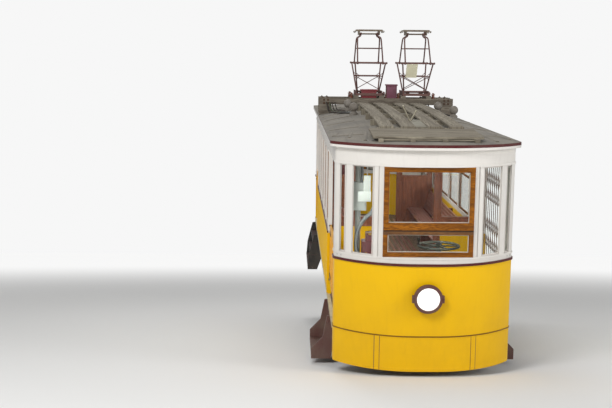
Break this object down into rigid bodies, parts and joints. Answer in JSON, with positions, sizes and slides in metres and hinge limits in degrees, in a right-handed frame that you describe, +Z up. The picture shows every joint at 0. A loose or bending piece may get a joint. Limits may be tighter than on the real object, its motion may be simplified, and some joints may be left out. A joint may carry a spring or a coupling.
{
  "type": "funicular car",
  "caption": "Level wooden street funicular cabin with bowed ends on a wedge frame and flanged wheelsets, with folding current collectors, half gates and lattice gates.",
  "frame": {"origin": "on the rail plane, on the track's centre line, midway between the two axles", "axes": "+Z up from the rail plane, +Y along the track with the raised (downhill) end of the cabin at +Y and the uphill end at -Y, +X to the right of a viewer who looks along +Y; stored with the rail plane level, so the cabin floor leans by the slope of its street"},
  "size_m": [2.45, 8.9059, 4.7997],
  "materials": {
    "body_yellow": "gloss coach enamel",
    "gate_yellow": "gloss coach enamel on wood",
    "body_white": "gloss coach enamel",
    "line_maroon": "gloss enamel",
    "step_maroon": "satin enamel",
    "sole_cream": "satin enamel",
    "varnished_wood": "varnished hardwood",
    "bench_wood": "varnished slats",
    "bulkhead_wood": "varnished panels",
    "clear_glass": "clear flat glass",
    "lamp_glass": "frosted lamp lens, lit white",
    "roof_canvas": "weathered painted canvas on boards",
    "walk_timber": "weathered planks",
    "roof_metal": "weathered grey paint",
    "bridge_timber": "weathered painted timber",
    "floor_boards": "worn floor boards",
    "frame_black": "black underframe paint, dusty",
    "wheel_iron": "dusty iron with bright treads",
    "box_iron": "oily black castings",
    "spring_steel": "dark oiled spring steel",
    "brake_iron": "rusty brown castings",
    "gear_green": "dark control-gear enamel",
    "controller_maroon": "satin enamel",
    "post_grey": "light grey enamel",
    "stile_olive": "dull olive enamel",
    "lattice_maroon": "satin enamel",
    "collector_brown": "rusty dark brown tube",
    "collector_shoe": "worn contact strip",
    "clevis_steel": "greased forged steel"
  },
  "bodies": {
    "car": {"end_wall_uphill": "body_white", "end_wall_downhill": "body_white", "end_windows": "varnished_wood", "end_dash_uphill": "body_yellow", "end_dash_downhill": "body_yellow", "end_skirts": "body_yellow", "belt_mouldings": "line_maroon", "side_wall_right": "body_white", "side_wall_left": "body_white", "window_glass": "clear_glass", "side_panel_right": "body_yellow", "side_panel_left": "body_yellow", "letterboard": "body_white", "cornice": "body_white", "roof_edge": "line_maroon", "roof_shell": "roof_canvas", "roof_walkway": "walk_timber", "roof_front_deck": "walk_timber", "roof_bridge": "bridge_timber", "roof_ventilators": "roof_metal", "floor_deck": "floor_boards", "sole_boards": "sole_cream", "floor_frame": "frame_black", "bulkheads": "bulkhead_wood", "benches": "bench_wood", "headlamps": "step_maroon", "headlamp_glass": "lamp_glass", "brake_stands": "gear_green", "controllers": "controller_maroon", "platform_posts": "post_grey", "steps_uphill": "step_maroon", "steps_downhill": "frame_black", "gate_fittings": "frame_black", "lattice_right_uphill": "lattice_maroon", "lattice_right_downhill": "lattice_maroon", "collector_bases": "collector_brown", "truck_frame": "frame_black", "axle_boxes": "box_iron", "leaf_springs": "spring_steel", "wedge_frame": "frame_black", "brake_gear": "brake_iron", "traction_motors": "gear_green", "rope_anchor": "clevis_steel"},
    "wheelset_uphill": {"wheelset_uphill": "wheel_iron"},
    "wheelset_downhill": {"wheelset_downhill": "wheel_iron"},
    "gate_left_uphill": {"gate_left_uphill": "gate_yellow"},
    "gate_left_downhill": {"gate_left_downhill": "gate_yellow"},
    "gate_stile_right_uphill": {"gate_stile_right_uphill": "stile_olive"},
    "gate_stile_right_downhill": {"gate_stile_right_downhill": "stile_olive"},
    "collector_left_lower_uphill": {"collector_left_lower_uphill": "collector_brown"},
    "collector_left_lower_downhill": {"collector_left_lower_downhill": "collector_brown"},
    "collector_left_upper_uphill": {"collector_left_upper_uphill": "collector_brown"},
    "collector_left_upper_downhill": {"collector_left_upper_downhill": "collector_brown"},
    "collector_left_head": {"collector_left_head": "collector_shoe"},
    "collector_right_lower_uphill": {"collector_right_lower_uphill": "collector_brown"},
    "collector_right_lower_downhill": {"collector_right_lower_downhill": "collector_brown"},
    "collector_right_upper_uphill": {"collector_right_upper_uphill": "collector_brown"},
    "collector_right_upper_downhill": {"collector_right_upper_downhill": "collector_brown"},
    "collector_right_head": {"collector_right_head": "collector_shoe"}
  },
  "joints": [
    {"name": "axle_uphill", "type": "hinge", "parent": "car", "child": "wheelset_uphill", "pos_m": [0, -1.75, 0.318], "axis": [1, 0, 0], "continuous": true},
    {"name": "axle_downhill", "type": "hinge", "parent": "car", "child": "wheelset_downhill", "pos_m": [0, 1.75, 0.318], "axis": [1, 0, 0], "continuous": true},
    {"name": "half_gate_left_uphill", "type": "hinge", "parent": "car", "child": "gate_left_uphill", "pos_m": [-0.9695, -2.38389, 1.32479], "axis": [0, -0.1772, 0.9842], "range_deg": [0, 90]},
    {"name": "half_gate_left_downhill", "type": "hinge", "parent": "car", "child": "gate_left_downhill", "pos_m": [-0.9695, 2.19256, 2.14855], "axis": [0, 0.1772, -0.9842], "range_deg": [0, 90]},
    {"name": "lattice_gate_right_uphill", "type": "slide", "parent": "car", "child": "gate_stile_right_uphill", "axis": [0, 0.9842, 0.1772], "range_m": [0, 1.08], "deforming": ["lattice_right_uphill"]},
    {"name": "lattice_gate_right_downhill", "type": "slide", "parent": "car", "child": "gate_stile_right_downhill", "axis": [0, -0.9842, -0.1772], "range_m": [0, 1.08], "deforming": ["lattice_right_downhill"]},
    {"name": "collector_left_base_uphill", "type": "hinge", "parent": "car", "child": "collector_left_lower_uphill", "pos_m": [-0.27, 0.56736, 3.81094], "axis": [-1, 0, 0], "range_deg": [-41.5, 11.5]},
    {"name": "collector_left_base_downhill", "type": "hinge", "parent": "car", "child": "collector_left_lower_downhill", "pos_m": [-0.27, 0.72483, 3.83928], "axis": [1, 0, 0], "range_deg": [-41.5, 11.5]},
    {"name": "collector_left_knee_uphill", "type": "hinge", "parent": "collector_left_lower_uphill", "child": "collector_left_upper_uphill", "pos_m": [-0.27, 0.15978, 4.19497], "axis": [1, 0, 0], "range_deg": [-83, 23]},
    {"name": "collector_left_knee_downhill", "type": "hinge", "parent": "collector_left_lower_downhill", "child": "collector_left_upper_downhill", "pos_m": [-0.27, 0.97292, 4.34133], "axis": [-1, 0, 0], "range_deg": [-83, 23]},
    {"name": "collector_left_head_pivot", "type": "hinge", "parent": "collector_left_upper_uphill", "child": "collector_left_head", "pos_m": [-0.27, 0.40787, 4.69702], "axis": [-1, 0, 0], "range_deg": [-41.5, 11.5]},
    {"name": "collector_right_base_uphill", "type": "hinge", "parent": "car", "child": "collector_right_lower_uphill", "pos_m": [0.465, 0.56736, 3.81094], "axis": [-1, 0, 0], "range_deg": [-41.5, 11.5]},
    {"name": "collector_right_base_downhill", "type": "hinge", "parent": "car", "child": "collector_right_lower_downhill", "pos_m": [0.465, 0.72483, 3.83928], "axis": [1, 0, 0], "range_deg": [-41.5, 11.5]},
    {"name": "collector_right_knee_uphill", "type": "hinge", "parent": "collector_right_lower_uphill", "child": "collector_right_upper_uphill", "pos_m": [0.465, 0.15978, 4.19497], "axis": [1, 0, 0], "range_deg": [-83, 23]},
    {"name": "collector_right_knee_downhill", "type": "hinge", "parent": "collector_right_lower_downhill", "child": "collector_right_upper_downhill", "pos_m": [0.465, 0.97292, 4.34133], "axis": [-1, 0, 0], "range_deg": [-83, 23]},
    {"name": "collector_right_head_pivot", "type": "hinge", "parent": "collector_right_upper_uphill", "child": "collector_right_head", "pos_m": [0.465, 0.40787, 4.69702], "axis": [-1, 0, 0], "range_deg": [-41.5, 11.5]}
  ],
  "couplings": [
    {"joint": "collector_left_base_downhill", "follows": "collector_left_base_uphill", "ratio": 1},
    {"joint": "collector_left_knee_uphill", "follows": "collector_left_base_uphill", "ratio": 2},
    {"joint": "collector_left_knee_downhill", "follows": "collector_left_base_uphill", "ratio": 2},
    {"joint": "collector_left_head_pivot", "follows": "collector_left_base_uphill", "ratio": 1},
    {"joint": "collector_right_base_downhill", "follows": "collector_right_base_uphill", "ratio": 1},
    {"joint": "collector_right_knee_uphill", "follows": "collector_right_base_uphill", "ratio": 2},
    {"joint": "collector_right_knee_downhill", "follows": "collector_right_base_uphill", "ratio": 2},
    {"joint": "collector_right_head_pivot", "follows": "collector_right_base_uphill", "ratio": 1}
  ]
}
